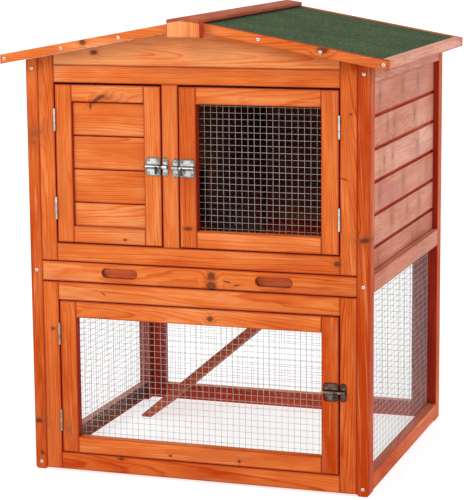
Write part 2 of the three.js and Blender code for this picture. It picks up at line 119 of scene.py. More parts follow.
def make_camera():
    yaw, pitch, roll = (radians(a) for a in (CAMERA_YAW, CAMERA_PITCH, CAMERA_ROLL))
    ahead = Vector((-sin(yaw) * cos(pitch), cos(yaw) * cos(pitch), -sin(pitch)))
    level = Vector((cos(yaw), sin(yaw), 0))
    upward = level.cross(ahead)
    right = cos(roll) * level + sin(roll) * upward
    up = cos(roll) * upward - sin(roll) * level
    data = bpy.data.cameras.new("camera")
    data.lens = CAMERA_LENS
    data.shift_x, data.shift_y = CAMERA_SHIFT
    data.clip_end = 60
    camera = add_object("camera", data)
    turn = Matrix((right, up, -ahead)).transposed().to_4x4()
    camera.matrix_world = Matrix.Translation(CAMERA_AT) @ turn
    bpy.context.scene.camera = camera


def area_light(name, place, power):
    """A square white lamp aimed at the middle of the hutch."""
    data = bpy.data.lights.new(name, "AREA")
    data.size = LAMP_SIZE
    data.energy = power
    lamp = add_object(name, data)
    lamp.location = place
    lamp.rotation_euler = (LAMP_TARGET - Vector(place)).to_track_quat("-Z", "Y").to_euler()


def make_studio():
    bpy.context.scene.view_settings.view_transform = "Standard"
    world = bpy.data.worlds.new("studio")
    world.use_nodes = True
    background = world.node_tree.nodes["Background"]
    background.inputs["Color"].default_value = (1, 1, 1, 1)
    background.inputs["Strength"].default_value = WORLD_LIGHT
    bpy.context.scene.world = world
    area_light("key", (-1.5, -2.3, 2.6), 30)
    area_light("fill", (3.0, -0.6, 2.0), 12)
    mesh = bpy.data.meshes.new("floor")
    corners = [(x * FLOOR_REACH, y * FLOOR_REACH, 0) for x, y in ((-1, -1), (1, -1), (1, 1), (-1, 1))]
    mesh.from_pydata(corners, [], [(0, 1, 2, 3)])
    floor = add_object("floor", mesh)
    floor.location.z = -FLOOR_DROP
    mesh.materials.append(floor_material())


# ---- shader building

class Shader:
    """A small helper that adds nodes to a material and wires them together."""

    def __init__(self, name):
        self.material = bpy.data.materials.new(name)
        self.material.use_nodes = True
        self.tree = self.material.node_tree
        self.surface = self.tree.nodes["Principled BSDF"]

    def add(self, kind, inputs, **settings):
        node = self.tree.nodes.new("ShaderNode" + kind)
        for key, value in settings.items():
            setattr(node, key, value)
        for key, value in inputs.items():
            self.put(node.inputs[key], value)
        return node

    def put(self, socket, value):
        if isinstance(value, bpy.types.NodeSocket):
            self.tree.links.new(value, socket)
        else:
            socket.default_value = value

    def attribute(self, name, output):
        return self.add("Attribute", {}, attribute_name=name).outputs[output]

    def position(self):
        return self.add("TexCoord", {}).outputs["Object"]

    def math(self, operation, a, b=0.0, clamp=False):
        return self.add("Math", {0: a, 1: b}, operation=operation, use_clamp=clamp).outputs[0]

    def plus(self, a, b, clamp=False):
        return self.math("ADD", a, b, clamp)

    def minus(self, a, b):
        return self.math("SUBTRACT", a, b)

    def times(self, a, b):
        return self.math("MULTIPLY", a, b)

    def over(self, a, b):
        return self.math("DIVIDE", a, b)

    def swing(self, value, gain):
        """A noise value from 0 to 1, centred on zero and scaled."""
        return self.times(self.minus(value, 0.5), gain)

    def least(self, values):
        lowest = values[0]
        for value in values[1:]:
            lowest = self.math("MINIMUM", lowest, value)
        return lowest

    def vector(self, operation, a, b=(0, 0, 0)):
        node = self.add("VectorMath", {0: a, 1: b}, operation=operation)
        return node.outputs["Value" if operation in ("LENGTH", "DISTANCE") else "Vector"]

    def split(self, vector):
        return self.add("SeparateXYZ", {0: vector}).outputs

    def turned(self, value, angle):
        """The vector turned about Y."""
        return self.add("VectorRotate", {"Vector": value, "Angle": angle}, rotation_type="Y_AXIS").outputs[0]

    def noise(self, where, stretch, detail=3.0, roughness=0.55):
        place = self.vector("MULTIPLY", where, stretch)
        inputs = {"Vector": place, "Scale": 1.0, "Detail": detail, "Roughness": roughness}
        return self.add("TexNoise", inputs).outputs["Fac"]

    def ramp(self, value, stops, smooth=False):
        node = self.add("ValToRGB", {0: value})
        node.color_ramp.interpolation = "EASE" if smooth else "LINEAR"
        elements = node.color_ramp.elements
        while len(elements) < len(stops):
            elements.new(0.5)
        for element, (place, colour) in zip(elements, stops):
            element.position = place
            element.color = (*colour, 1) if isinstance(colour, tuple) else (colour, colour, colour, 1)
        return node.outputs["Color"]

    def mix(self, amount, a, b):
        a, b = ((*colour, 1) if isinstance(colour, tuple) else colour for colour in (a, b))
        return self.add("Mix", {"Factor": amount, 6: a, 7: b}, data_type="RGBA").outputs[2]

    def bump(self, height, strength, distance):
        inputs = {"Strength": strength, "Distance": distance, "Height": height}
        return self.add("Bump", inputs).outputs["Normal"]

    def finish(self, colour, roughness, normal=None, metallic=0.0, specular=0.5):
        sockets = self.surface.inputs
        self.put(sockets["Base Color"], colour)
        self.put(sockets["Roughness"], roughness)
        if normal is not None:
            self.put(sockets["Normal"], normal)
        sockets["Metallic"].default_value = metallic
        sockets["Specular IOR Level"].default_value = specular
        return self.material


def timber_material(name, pale, base, deep, knots=(), faint=(), rough=0.5, stain=0.0, specular=0.06):
    """Pine with growth rings, fibres, knots, uneven glaze and darker glaze along the edges.

    grain is a vertex vector measured from the log's pith, its X along the board; local and half are the
    place in the board and half the board's size; tone darkens one board against the next, and it also
    carries painted shade, deeper on the lower boards and at the posts' feet, and painted light on the gable."""
    s = Shader(name)
    grain = s.attribute("grain", "Vector")
    tone = s.attribute("tone", "Fac")
    near, core = knot_field(s, knots)
    halo = knot_field(s, faint)[0]
    wander = s.swing(s.noise(grain, (3.0, 16, 16), 2), 0.016)
    ripple = s.swing(s.noise(grain, (14, 90, 90), 2), 0.0022)
    radius = s.vector("LENGTH", s.vector("MULTIPLY", grain, (0, 1, 1)))
    wavy = s.plus(radius, s.plus(wander, ripple))
    pushed = s.plus(wavy, s.times(s.plus(near, halo), KNOT_PUSH))
    turns = s.over(pushed, RING_WIDTH)
    latewood = s.ramp(s.math("FRACT", turns), [(0.0, 0.0), (0.45, 0.12), (0.86, 1.0), (1.0, 0.0)])
    ring_noise = s.add("TexWhiteNoise", {"W": s.math("FLOOR", turns)}, noise_dimensions="1D")
    strength = s.times(s.plus(ring_noise.outputs["Value"], 0.35), 0.62)
    ring = s.times(latewood, strength)
    fibre = s.noise(grain, (9, 620, 620), 3)
    clouds = s.noise(grain, (5, 26, 26), 4, 0.6)
    flush = s.noise(s.position(), (7, 7, 7), 2)
    shade = s.plus(s.times(ring, 0.5), s.swing(clouds, 1.1))
    shade = s.plus(shade, s.swing(fibre, 0.45))
    shade = s.plus(shade, s.swing(flush, 0.4))
    shade = s.plus(shade, s.plus(s.times(tone, 0.6), 0.12), clamp=True)
    colour = s.ramp(shade, [(0.0, pale), (0.42, base), (1.0, deep)])
    brown = s.ramp(s.noise(grain, (3.5, 42, 42), 3, 0.6), [(0.5, 0.0), (0.68, 0.5)])
    colour = s.mix(brown, colour, (base[0] * 0.78, base[1] * 0.88, base[2] * 1.4))
    streak = s.ramp(s.noise(grain, (1.6, 170, 170), 2), [(0.58, 0.0), (0.72, 0.42)])
    colour = s.mix(streak, colour, pale)
    if stain:
        smudge = s.ramp(s.noise(grain, (20, 6, 6), 3, 0.65), [(0.54, 0.0), (0.70, 1.0)])
        colour = s.mix(s.times(smudge, stain), colour, RESIN_TINT)
    edge = edge_factor(s)
    colour = s.mix(s.times(edge, 0.8), colour, SEAM_STAIN)
    if faint:
        colour = s.mix(s.times(s.math("POWER", halo, 1.6), 0.85), colour, FAINT_KNOT_TINT)
    if knots:
        stained = s.times(s.math("POWER", near, 2.0), 0.75)
        colour = s.mix(stained, colour, tuple(0.62 * c for c in deep))
        colour = s.mix(core, colour, KNOT_TINT)
    height = s.plus(s.times(fibre, 0.5), s.times(ring, 0.35))
    gloss = s.plus(s.times(fibre, 0.22), rough - 0.1)
    return s.finish(colour, gloss, s.bump(height, 0.35, 0.5 * MM), specular=specular)


def knot_field(s, knots):
    """How near each point is to a knot (0 to 1), and how far it is inside one's dark core (0 to 1)."""
    if not knots:
        return 0.0, 0.0
    place = s.position()
    distances = []
    for centre, size, stretch, lean in knots:
        offset = s.vector("SUBTRACT", place, centre)
        if lean:
            offset = s.turned(offset, lean)
        scaled = s.vector("MULTIPLY", offset, tuple(stretch_axis / size for stretch_axis in stretch))
        distances.append(s.vector("LENGTH", scaled))
    closest = s.least(distances)
    ragged = s.plus(closest, s.swing(s.noise(place, (220, 220, 220), 3), 0.9))
    near = s.ramp(s.over(closest, 4.5), [(0.0, 1.0), (0.3, 0.5), (1.0, 0.0)], smooth=True)
    rim = [(0.0, 0.55), (0.3, 0.68), (0.46, 0.92), (0.62, 0.4), (0.95, 0.0)]
    core = s.ramp(s.over(ragged, 2.0), rim)
    return near, core


def edge_factor(s, width=3.2 * MM):
    """1 on a board's edges and 0 past the width: the second smallest distance to the board's faces."""
    local = s.vector("ABSOLUTE", s.attribute("local", "Vector"))
    along, across, through = s.split(s.vector("SUBTRACT", s.attribute("half", "Vector"), local))
    lesser = s.math("MINIMUM", across, through)
    greater = s.math("MAXIMUM", across, through)
    second = s.math("MAXIMUM", lesser, s.math("MINIMUM", greater, along))
    return s.ramp(s.over(second, width), [(0.0, 1.0), (0.45, 0.62), (1.0, 0.0)])


def felt_material():
    s = Shader("roofing_felt_granules")
    place = s.position()
    grit = s.noise(place, (460, 150, 460), 3, 0.75)
    patch = s.noise(place, (9, 9, 9), 3)
    shade = s.plus(s.times(grit, 0.92), s.times(patch, 0.14), clamp=True)
    shadow, middle, glint = (0.006, 0.020, 0.005), (0.032, 0.060, 0.020), (0.12, 0.16, 0.075)
    colour = s.ramp(shade, [(0.40, shadow), (0.54, middle), (0.66, glint)])
    gloss = s.plus(s.times(patch, 0.1), 0.85)
    return s.finish(colour, gloss, s.bump(grit, 0.6, 0.8 * MM), specular=0.1)


def metal_material(name, colour, dark, rough, speckle=1400, metallic=1.0, screws=()):
    """Plated or galvanised steel with clouds and specks.

    A pressed plate passes its screws' places: patina gathers round them, and painted shade darkens its edges and
    the creases beside its tunnel."""
    s = Shader(name)
    place = s.position()
    spots = s.noise(place, (speckle, speckle, speckle), 3)
    cloud = s.noise(place, (60, 60, 60), 3)
    shade = s.plus(s.times(cloud, 0.7), s.times(spots, 0.3), clamp=True)
    tint = s.ramp(shade, [(0.34, dark), (0.58, colour)])
    if screws:
        # painted shade along the plate's edges and beside its tunnel, and patina round its screws
        darkening = s.times(plate_shade_and_patina(s, place, screws), 0.9)
        tint = s.mix(darkening, tint, tuple(0.12 * c for c in dark))
    gloss = s.plus(s.times(spots, 0.25), rough)
    return s.finish(tint, gloss, s.bump(spots, 0.12, 0.1 * MM), metallic=metallic)


# Painted shade by a plate's edges and on both sides of its tunnel; patina round its screws
def plate_shade_and_patina(s, place, screws):
    height = s.split(s.vector("ABSOLUTE", s.attribute("local", "Vector")))["Z"]
    beside = s.over(height, SHADE_AND_PATINA_REACH)
    darkening = s.ramp(beside, [(0.46, 0.0), (0.56, 1.0), (0.70, 0.9), (0.86, 0.0)])
    darkening = s.math("MAXIMUM", darkening, edge_factor(s, 4 * MM))
    closest = s.least([s.vector("DISTANCE", place, screw) for screw in screws])
    ring = s.ramp(s.over(closest, SHADE_AND_PATINA_REACH), [(0.45, 1.0), (0.72, 0.0)])
    return s.math("MAXIMUM", darkening, ring)


def floor_material():
    s = Shader("studio_floor")
    cloud = s.noise(s.position(), (3, 3, 3), 2)
    tint = s.ramp(cloud, [(0.3, 0.36), (0.7, 0.40)])
    s.surface.inputs["Emission Color"].default_value = (1, 1, 1, 1)
    s.surface.inputs["Emission Strength"].default_value = FLOOR_GLOW
    return s.finish(tint, 0.95)


# ---- mesh building

def link_piece(name, bm, material, like_node, smooth_angle=35):
    """Turns a bmesh into a piece that rides on the CAD node's body and has its material slot."""
    mesh = bpy.data.meshes.new(name)
    bmesh.ops.recalc_face_normals(bm, faces=bm.faces)
    for face in bm.faces:
        face.smooth = True
    bm.to_mesh(mesh)
    bm.free()
    mesh.set_sharp_from_angle(angle=radians(smooth_angle))
    mesh.materials.append(material)
    piece = add_object(name, mesh)
    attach(piece, BODY_OF[like_node])
    return piece


def bevel(bm, edges, offset, segments, profile):
    shape = {"segments": segments, "profile": profile, "affect": "EDGES", "clamp_overlap": True}
    bmesh.ops.bevel(bm, geom=edges, offset=offset, **shape)


def soften(bm, offset, segments=2, angle=25):
    edges = [e for e in bm.edges if len(e.link_faces) == 2 and e.calc_face_angle(0) > radians(angle)]
    bevel(bm, edges, offset, segments, 0.6)


def prism(outline, axis, start, end):
    """A closed bmesh: an outline of (u, v) points in the plane across axis, from start to end along it."""
    bm = bmesh.new()
    a, u, v = axes_from(axis)

    def vertex(point, along):
        place = [0, 0, 0]
        place[u], place[v], place[a] = *point, along
        return bm.verts.new(place)

    low = [vertex(p, start) for p in outline]
    high = [vertex(p, end) for p in outline]
    bm.faces.new(low)
    bm.faces.new(list(reversed(high)))
    count = len(outline)
    for i in range(count):
        j = (i + 1) % count
        bm.faces.new((low[i], high[i], high[j], low[j]))
    bmesh.ops.recalc_face_normals(bm, faces=bm.faces)
    return bm


def box_bm(lo, hi):
    return prism([(lo[0], lo[2]), (hi[0], lo[2]), (hi[0], hi[2]), (lo[0], hi[2])], "y", lo[1], hi[1])


def node_bm(node):
    """A CAD node's own shape as a clean bmesh, its flat faces whole again."""
    bm = bmesh.new()
    bm.from_mesh(NODES[node].data)
    bmesh.ops.remove_doubles(bm, verts=bm.verts, dist=0.01 * MM)
    bmesh.ops.dissolve_limit(bm, angle_limit=radians(0.5), verts=bm.verts, edges=bm.edges)
    return bm


def add_into(target, source):
    mesh = bpy.data.meshes.new("joining")
    source.to_mesh(mesh)
    source.free()
    target.from_mesh(mesh)
    bpy.data.meshes.remove(mesh)


def vector_layers(bm, *names):
    return {name: bm.verts.layers.float_vector.new(name) for name in names}


def as_board(bm, grain, tone, seed, arris=ARRIS):
    """Softens a board's edges and stores where each point lies in the board and in the log it was sawn from.

    tone is one value, or a pair for the board's two ends."""
    first, last = tone if isinstance(tone, tuple) else (tone, tone)
    chance = random.Random(seed)
    soften(bm, arris)
    lows = [min(v.co[i] for v in bm.verts) for i in range(3)]
    highs = [max(v.co[i] for v in bm.verts) for i in range(3)]
    order = axes_from(grain)
    middle = [(lows[i] + highs[i]) / 2 for i in order]
    half = Vector([(highs[i] - lows[i]) / 2 for i in order])
    pith_across = chance.uniform(0.012, 0.055) * chance.choice((-1, 1))
    pith_through = chance.uniform(0.01, 0.05) * chance.choice((-1, 1))
    tilt = (chance.uniform(-0.05, 0.05), chance.uniform(-0.05, 0.05))
    shift = chance.uniform(-20, 20)
    layers = vector_layers(bm, "grain", "local", "half")
    tones = bm.verts.layers.float.new("tone")
    for v in bm.verts:
        local = Vector([v.co[i] for i in order]) - Vector(middle)
        v[layers["local"]] = local
        v[layers["half"]] = half
        across = local.y + pith_across + tilt[0] * local.x
        through = local.z + pith_through + tilt[1] * local.x
        v[layers["grain"]] = Vector((local.x + shift, across, through))
        v[tones] = first + (last - first) * (local.x / half.x + 1) / 2
    return bm


class Joinery:
    """Boards gathered into one piece that stands for a CAD node."""

    def __init__(self, node, material):
        self.node = node
        self.material = material
        self.whole = bmesh.new()
        self.count = 0
        vector_layers(self.whole, "grain", "local", "half")
        self.whole.verts.layers.float.new("tone")

    def add(self, bm, grain, tone, arris=ARRIS):
        self.count += 1
        as_board(bm, grain, tone, f"{self.node}{self.count}", arris)
        add_into(self.whole, bm)
        return self

    def block(self, x, y, z, grain, tone):
        return self.add(box_bm((x[0], y[0], z[0]), (x[1], y[1], z[1])), grain, tone)

    def finish(self, *others):
        """Makes the piece; each other is a further material and a test for the faces it goes on."""
        piece = link_piece(f"timber_{self.node}", self.whole, self.material, self.node)
        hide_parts(self.node)
        for index, (material, belongs) in enumerate(others, 1):
            piece.data.materials.append(material)
            for face in piece.data.polygons:
                if belongs(face):
                    face.material_index = index
        return piece


def whole_board(node, material, grain, tone, arris=ARRIS):
    """A CAD node's own shape as one board."""
    return Joinery(node, material).add(node_bm(node), grain, tone, arris)


def faces_sideways(face):
    return abs(face.normal.x) > 0.8


def faces_inward(face):
    return face.normal.x * face.center.x < 0 and faces_sideways(face)


def faces_down(face):
    return face.normal.z < -0.5


def faces_up(face):
    return face.normal.z > 0.8


def faces_forward(face):
    return face.normal.y < -0.8


def extent(node):
    lo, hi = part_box(node)
    return tuple((lo[i], hi[i]) for i in range(3))


# ---- timber pieces

ROOF_SLOPE = 0.181
GABLE_X, _, GABLE_Z = extent("front_gable")
TIGHT = 0.3 * MM  # between boards that meet
OPENING_HALF = GABLE_X[1] + TIGHT
INSIDE = (-OPENING_HALF + TIGHT / 2, OPENING_HALF - TIGHT / 2)
SEAM_DEPTH = 1.6 * MM  # a face set back further than this is in a seam

# Clear gaps between the doors and the frame members round them
SILL_GAP = 2.8 * MM
RAIL_GAP = 4.3 * MM
NEST_SIDE_GAP = 2.9 * MM
LIVING_SIDE_GAP = 2.3 * MM
RUN_SILL_GAP = 2.1 * MM
RUN_RAIL_GAP = 2.7 * MM


def under_roof(x):
    return GABLE_Z[1] - ROOF_SLOPE * abs(x)


def side_span(sign, inner, outer):
    return (inner, outer) if sign > 0 else (-outer, -inner)


def roofed_board(joinery, x, y, z_bottom, tone, grain="z"):
    """A board whose top edge follows the underside of the roof."""
    outline = [(x[0], z_bottom), (x[1], z_bottom), (x[1], under_roof(x[1])), (x[0], under_roof(x[0]))]
    joinery.add(prism(outline, "y", *y), grain, tone)


def framed(joinery, x, y, z, stile, rail, tones):
    """A rectangular frame: two full-height stiles with a rail at the top and bottom between them."""
    left, right, top, bottom = tones
    joinery.block((x[0], x[0] + stile), y, z, "z", left)
    joinery.block((x[1] - stile, x[1]), y, z, "z", right)
    between = (x[0] + stile + TIGHT / 2, x[1] - stile - TIGHT / 2)
    joinery.block(between, y, (z[1] - rail, z[1]), "x", top)
    joinery.block(between, y, (z[0], z[0] + rail), "x", bottom)


def make_posts(looks):
    # The front posts' tones run from foot to top; deeper at the foot is painted shade
    tones = {"front_left": (1.35, 0.65), "front_right": (1.5, 1.1), "rear_left": 0.8, "rear_right": 1.0}
    for place, tone in tones.items():
        node = f"post_{place}"
        post = whole_board(node, looks["front"], "z", tone)
        # The rear posts' forward faces take the deep red pine: painted shade
        if place.startswith("rear"):
            post.finish((looks["reveal"], faces_forward))
        else:
            post.finish()


def make_side_walls(looks):
    # The mid and top rails take the pale side pine: painted sheen
    rail_looks = {"bottom": ("front", 1.0), "mid": ("side", 0.6), "top": ("side", 0.45)}
    for side, sign in SIDES.items():
        for place, (look, tone) in rail_looks.items():
            node = f"side_rail_{place}_{side}"
            rail = whole_board(node, looks[look], "y", tone)
            # Faces turned into the hutch take the dark inner pine, painted shade; rail tops take the pale side
            # pine, painted light
            rail.finish((looks["inner"], faces_inward), (looks["side"], faces_up))
        make_side_planks(looks, side, sign)


PLANK_PITCH = 64.3 * MM


def plank_outline(inner, outer, bottom, top, seam, rebate):
    back = outer + copysign(rebate, inner - outer)
    face = [(inner, bottom), (outer, bottom), (outer, top - seam)]
    return face + [(back, top - seam), (back, top), (inner, top)]


def make_side_planks(looks, side, sign):
    node = f"wall_boards_{side}"
    x, y, z = extent(node)
    inner, outer = (x[0], x[1]) if sign > 0 else (x[1], x[0])
    tones = (0.45, 0.3, 0.05, 0.5, 0.3, 0.8)
    # The planks take the pale side pine: painted sheen of light glancing off the wall
    planks = Joinery(node, looks["side"])
    top = z[1]
    for tone in tones:
        bottom = max(top - PLANK_PITCH, z[0])
        seam = 0 if top == z[1] else PLANK_SEAM
        outline = plank_outline(inner, outer, bottom, top, max(seam, 0.5 * MM), PLANK_REBATE)
        planks.add(prism(outline, "y", *y), "y", tone, arris=1.2 * MM)
        top = bottom
    # Seam faces take the deep red pine, painted shade in the seams; faces turned into the hutch take the dark
    # inner pine, painted shade
    planks.finish(
        (looks["reveal"], lambda face: abs(face.center.x - outer) > SEAM_DEPTH),
        (looks["inner"], faces_inward),
    )


def make_front_frames(looks):
    x, y, z = extent("front_upper_frame")
    nest_x, _, nest_z = extent("nest_door_frame")
    living_x = extent("living_door_frame")[0]
    frame_piece = Joinery("front_upper_frame", looks["front"])
    for sign, tone in ((-1, 0.5), (1, 0.75)):
        roofed_board(frame_piece, side_span(sign, OPENING_HALF, x[1]), y, z[0], tone)
    sill_top = nest_z[0] - SILL_GAP
    rail = (nest_z[1] + RAIL_GAP, GABLE_Z[0] - TIGHT)
    frame_piece.block(INSIDE, y, (z[0], sill_top), "x", (0.4, 0.7))
    frame_piece.block(INSIDE, y, rail, "x", (0.2, 0.6))
    mullion = (nest_x[1] + NEST_SIDE_GAP, living_x[0] - LIVING_SIDE_GAP)
    frame_piece.block(mullion, y, (sill_top + TIGHT, rail[0] - TIGHT), "z", 0.4)
    # Sideways faces of the openings take the deep red pine: painted shade
    frame_piece.finish((looks["reveal"], faces_sideways))
    # The gable's pale tone is painted light, lifting the trims' shadow on it
    whole_board("front_gable", looks["front"], "x", (-0.4, 0.0)).finish()

    # The lower frame's deeper tones are partly painted shade, darker towards the bottom
    lower = Joinery("front_lower_frame", looks["front"])
    x, y, z = extent("front_lower_frame")
    door_z = extent("run_door_frame")[2]
    for sign, tone in ((-1, 0.75), (1, 0.95)):
        lower.block(side_span(sign, OPENING_HALF, x[1]), y, z, "z", tone)
    lower.block(INSIDE, y, (z[0], door_z[0] - RUN_SILL_GAP), "x", 0.85)
    lower.block(INSIDE, y, (door_z[1] + RUN_RAIL_GAP, z[1]), "x", (0.3, 0.6))
    # Sideways faces take the deep red pine: painted shade
    lower.finish((looks["reveal"], faces_sideways))


def make_rear_wall(looks):
    x, y, z = extent("rear_frame")
    boards_x, boards_y, boards_z = extent("rear_wall_boards")
    rail_z = extent("side_rail_mid_left")[2]
    wire_z = extent("run_mesh_rear")[2]
    rear = Joinery("rear_frame", looks["front"])
    for sign, tone in ((-1, 0.5), (1, 0.6)):
        roofed_board(rear, side_span(sign, OPENING_HALF, x[1]), y, z[0], tone)
    rear.block(INSIDE, y, (z[0], wire_z[0] + 6 * MM), "x", 0.0)
    rear.block(INSIDE, y, rail_z, "x", 0.4)
    gable = [(x, boards_z[1] + TIGHT) for x in INSIDE]
    gable += [(x, under_roof(x)) for x in (INSIDE[1], 0, INSIDE[0])]
    rear.add(prism(gable, "y", *y), "x", 0.3)
    # Forward and sideways faces take the deep red pine: painted shade inside the hutch
    rear.finish((looks["reveal"], lambda face: faces_forward(face) or faces_sideways(face)))
    # The rear planks take the pale side pine: painted sheen
    planks = Joinery("rear_wall_boards", looks["side"])
    top = boards_z[1]
    for tone in (0.5, 0.3, 0.6, 0.4, 0.5, 0.35):
        bottom = max(top - PLANK_PITCH, boards_z[0])
        outline = plank_outline(boards_y[0], boards_y[1], bottom, top, 3 * MM, 3 * MM)
        planks.add(prism(outline, "x", *boards_x), "x", tone, arris=1.2 * MM)
        top = bottom
    # Their faces turned into the hutch take the dark inner pine: painted shade
    planks.finish((looks["inner"], faces_forward))


def make_interior(looks):
    # The partition, ramp and floor bearer take the dark inner and shaded pine: painted shade inside the hutch
    whole_board("partition_wall", looks["inner"], "y", 0.7).finish()
    plank = node_bm("ramp")
    foot = min(v.co.z for v in plank.verts)
    ends = []
    for edge in plank.edges:
        first, last = (v.co for v in edge.verts)
        level = abs(first.z - last.z) < MM and abs(first.x - last.x) < MM
        if level and max(first.z, last.z) < foot + 16 * MM:
            ends.append(edge)
    bevel(plank, ends, 8 * MM, 8, 0.5)
    Joinery("ramp", looks["shaded"]).add(plank, "x", 0.2, arris=1.0 * MM).finish()
    x, y, z = extent("floor_bearer")
    batten = 25 * MM
    bearer = Joinery("floor_bearer", looks["inner"])
    bearer.block((x[0], x[0] + batten), y, z, "y", 0.5)
    bearer.block((x[1] - batten, x[1]), y, z, "y", 0.6)
    tie_rear = extent("ramp")[1][0] - 5 * MM
    bearer.block((x[0] + batten + TIGHT, x[1] - batten - TIGHT), (tie_rear - batten, tie_rear), z, "x", 0.4)
    bearer.finish()


def make_roof(looks):
    for side, sign in SIDES.items():
        make_roof_trim(looks, side, sign)
        # The roof boards, seen from inside, take the dark inner pine: painted shade
        make_roof_panel(looks["inner"], side, sign)
        make_felt(looks["felt"], side, sign)
    # The ridge cap takes the darker shaded pine; the end block's sideways faces take the deep red pine, painted
    # shade
    whole_board("ridge_cap", looks["shaded"], "y", 0.1, 1.2 * MM).finish()
    block = whole_board("ridge_end_block", looks["front"], "z", -0.15)
    block.finish((looks["reveal"], faces_sideways))


TRIM_HEIGHT = 18.5 * MM
TRIM_THICKNESS = 15 * MM
ROOF_BOARD_THICKNESS = 14 * MM
ROOF_BOARDS = 4
FELT_THICKNESS = 2.6 * MM
FELT_SINK = 0.5 * MM
FELT_SWELL = 0.45 * MM


def roof_side(node):
    """A roof member's run along Y, its distances from the ridge line and its height there."""
    x, y, z = extent(node)
    ridge, reach = sorted(abs(end) for end in x)
    return y, ridge, reach, z[1] + ROOF_SLOPE * ridge


def slanted(sign, near, far, top_at_ridge, height):
    """A strip across the roof slope, as an outline of (x, z) points."""
    def top(x):
        return top_at_ridge - ROOF_SLOPE * abs(x)

    near, far = sign * near, sign * far
    return [(near, top(near) - height), (far, top(far) - height), (far, top(far)), (near, top(near))]


def make_roof_trim(looks, side, sign):
    node = f"roof_trim_{side}"
    y, ridge, reach, peak = roof_side(node)
    whole = slanted(sign, ridge, reach, peak, TRIM_HEIGHT)
    trim = Joinery(node, looks["front"])
    trim.add(prism(whole, "y", y[0], y[0] + TRIM_THICKNESS), "x", (0.5, 0.25) if sign < 0 else (0.4, 0.8))
    trim.add(prism(whole, "y", y[1] - TRIM_THICKNESS, y[1]), "x", 0.5)
    # The trims' undersides and top edges take the deep red pine: painted shade
    trim.finish((looks["reveal"], lambda face: faces_down(face) or faces_up(face)))
    eave = slanted(sign, reach - TRIM_THICKNESS, reach, peak, TRIM_HEIGHT)
    fascia_y = (y[0] + TRIM_THICKNESS + TIGHT, y[1] - TRIM_THICKNESS - TIGHT)
    # The fascia takes the pale side pine: painted sheen
    fascia = as_board(prism(eave, "y", *fascia_y), "y", 0.1, f"fascia_{side}")
    link_piece(f"timber_fascia_{side}", fascia, looks["side"], node)


def make_roof_panel(material, side, sign):
    node = f"roof_panel_{side}"
    y, ridge, reach, peak = roof_side(node)
    boards = Joinery(node, material)
    width = (reach - ridge) / ROOF_BOARDS
    for i in range(ROOF_BOARDS):
        near = ridge + i * width + (TIGHT if i else 0)
        outline = slanted(sign, near, ridge + (i + 1) * width, peak, ROOF_BOARD_THICKNESS)
        boards.add(prism(outline, "y", *y), "y", 0.3 + 0.15 * (i % 3))
    boards.finish()


def make_felt(material, side, sign):
    """A sheet of mineral felt on the roof slope, with the faint rise and fall of the boards under it."""
    node = f"roof_felt_{side}"
    y, ridge, reach, peak = roof_side(node)
    columns, rows = 48, 80
    bm = bmesh.new()

    def point(i, j, drop):
        across = sign * (ridge + (reach - ridge) * i / columns)
        along = y[0] + (y[1] - y[0]) * j / rows
        rise = FELT_SWELL * noise.noise(Vector((across * 16, along * 9, sign)))
        return Vector((across, along, peak - ROOF_SLOPE * abs(across) - FELT_SINK + rise - drop))

    def sheet(drop):
        return [[bm.verts.new(point(i, j, drop)) for j in range(rows + 1)] for i in range(columns + 1)]

    grids = [sheet(0), sheet(FELT_THICKNESS)]
    for top in grids:
        for i in range(columns):
            for j in range(rows):
                bm.faces.new((top[i][j], top[i + 1][j], top[i + 1][j + 1], top[i][j + 1]))
    border = [(i, 0) for i in range(columns)] + [(columns, j) for j in range(rows)]
    border += [(i, rows) for i in range(columns, 0, -1)] + [(0, j) for j in range(rows, 0, -1)]
    for here, there in zip(border, border[1:] + border[:1]):
        upper, lower = grids
        corners = ((upper, here), (upper, there), (lower, there), (lower, here))
        bm.faces.new([grid[i][j] for grid, (i, j) in corners])
    felt = link_piece(f"felt_{side}", bm, material, node)
    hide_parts(node)


DOOR_STILE = 34.6 * MM
DOOR_RAIL = 33 * MM
NEST_PLANK = 67 * MM
NEST_PLANKS = 4


def make_doors(looks):
    tones = {"nest": (0.5, 0.4, 0.15, 0.2), "living": (0.8, 0.6, 0.4, 0.42), "run": (0.85, 1.15, 0.35, 0.6)}
    for door, door_tones in tones.items():
        node = f"{door}_door_frame"
        leaf = Joinery(node, looks["front"])
        framed(leaf, *extent(node), DOOR_STILE, DOOR_RAIL, door_tones)
        # Sideways faces of the door frames take the deep red pine: painted shade
        leaf.finish((looks["reveal"], faces_sideways))
    x, y, z = extent("nest_door_boards")
    boards = Joinery("nest_door_boards", looks["front"])
    levels = [z[1]] + [z[1] - NEST_PLANK * i for i in range(1, NEST_PLANKS)] + [z[0]]
    for top, bottom, tone in zip(levels, levels[1:], (0.3, 0.42, 0.5, 0.08)):
        outline = plank_outline(y[1], y[0], bottom, top, 2.6 * MM, 3 * MM)
        boards.add(prism(outline, "x", *x), "x", tone, arris=1.1 * MM)
    # Faces set back in the seams between boards take the deep red pine: painted shade
    boards.finish((looks["reveal"], lambda face: face.center.y > y[0] + SEAM_DEPTH))


